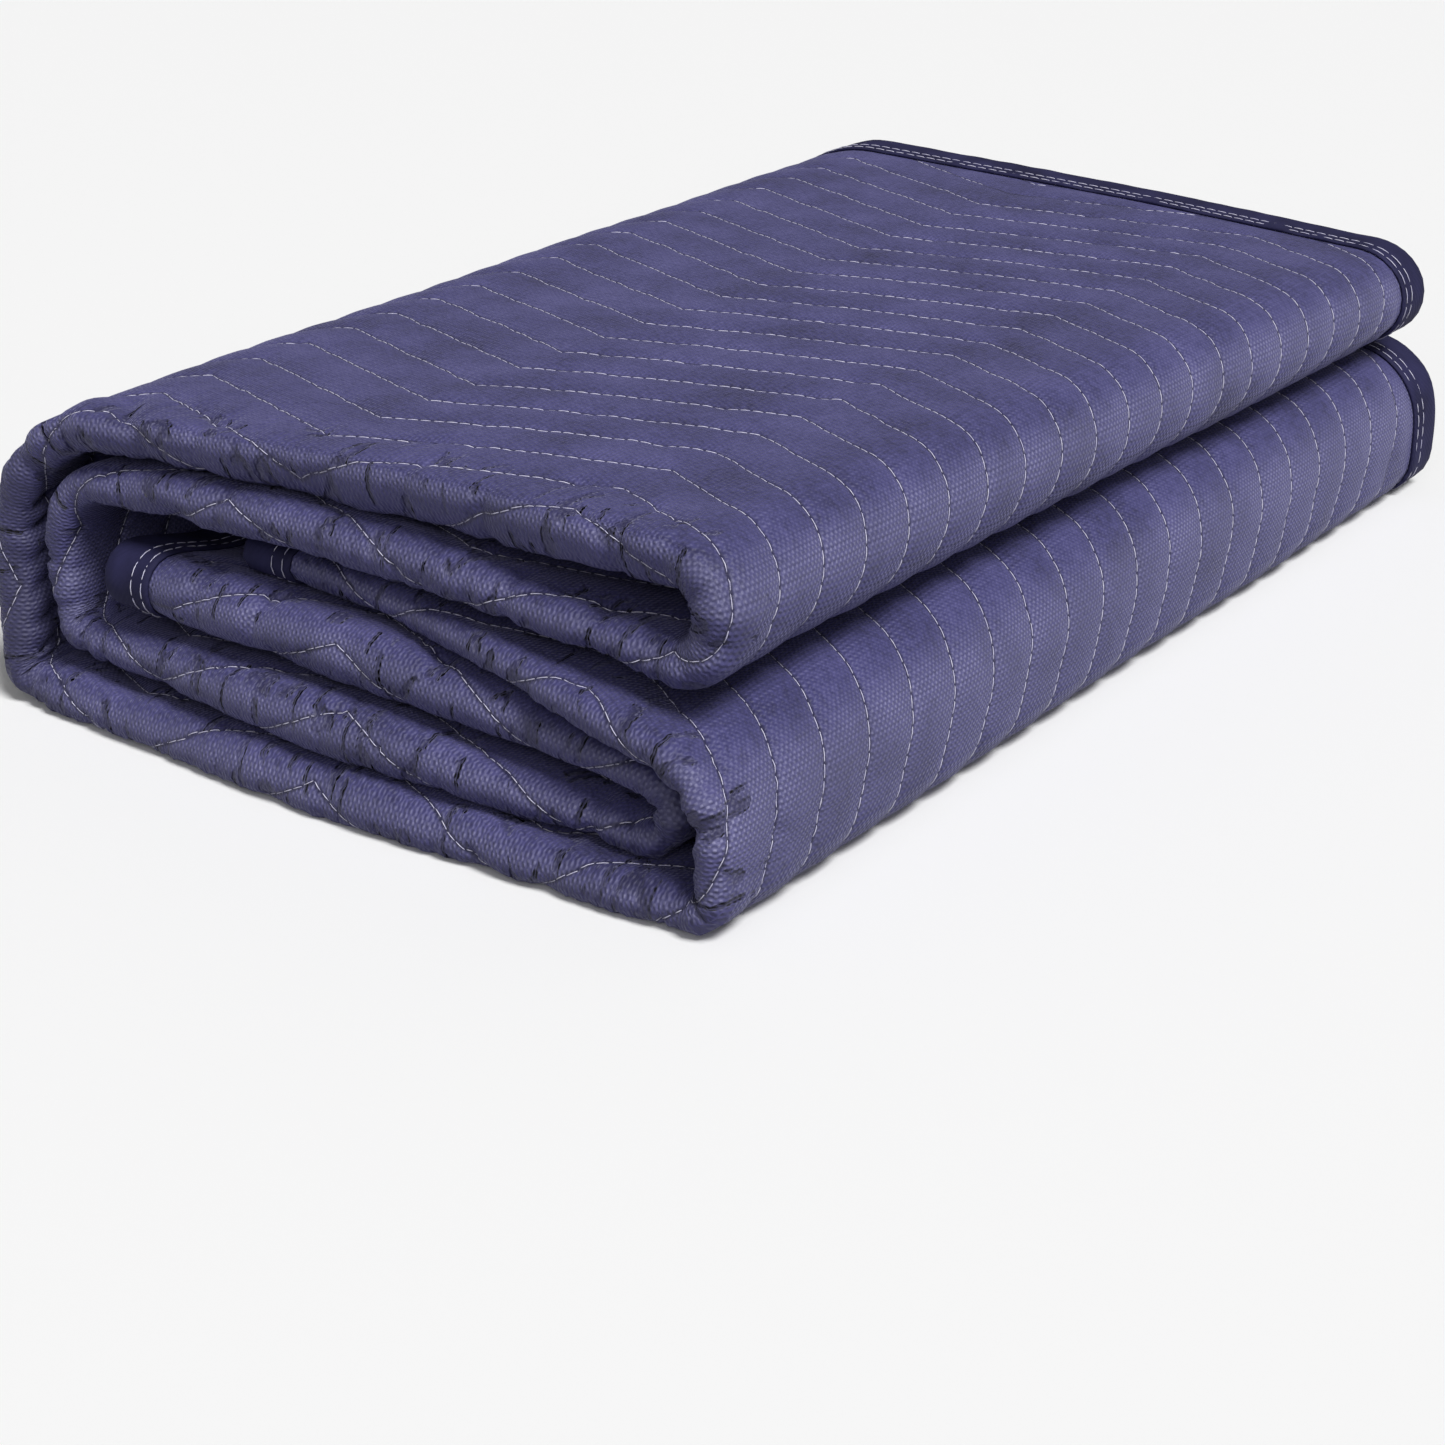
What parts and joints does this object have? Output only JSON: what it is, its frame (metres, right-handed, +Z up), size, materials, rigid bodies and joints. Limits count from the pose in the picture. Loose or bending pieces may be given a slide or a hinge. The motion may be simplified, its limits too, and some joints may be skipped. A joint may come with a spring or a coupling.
{
  "type": "moving blanket",
  "caption": "Quilted moving blanket with chevron stitching and taped edges, doubled and folded up into a flat stack.",
  "frame": {"origin": "the middle of the folded blanket's footprint, on the surface that it rests on", "axes": "+Z up through the stack, +X towards the side with the two bulging folds, -Y towards the end where the doubled cloth's crease shows, +Y towards the end with the bound edges"},
  "size_m": [0.3342, 0.5322, 0.1197],
  "materials": {
    "quilted_cloth": "woven, dull with a soft sheen",
    "binding_tape": "smooth tight-woven tape, dull"
  },
  "bodies": {
    "root": {"quilted_body": "quilted_cloth", "binding_upper_long": "binding_tape", "binding_lower_long": "binding_tape", "binding_inner_end": "binding_tape", "binding_outer_end": "binding_tape"}
  },
  "joints": []
}
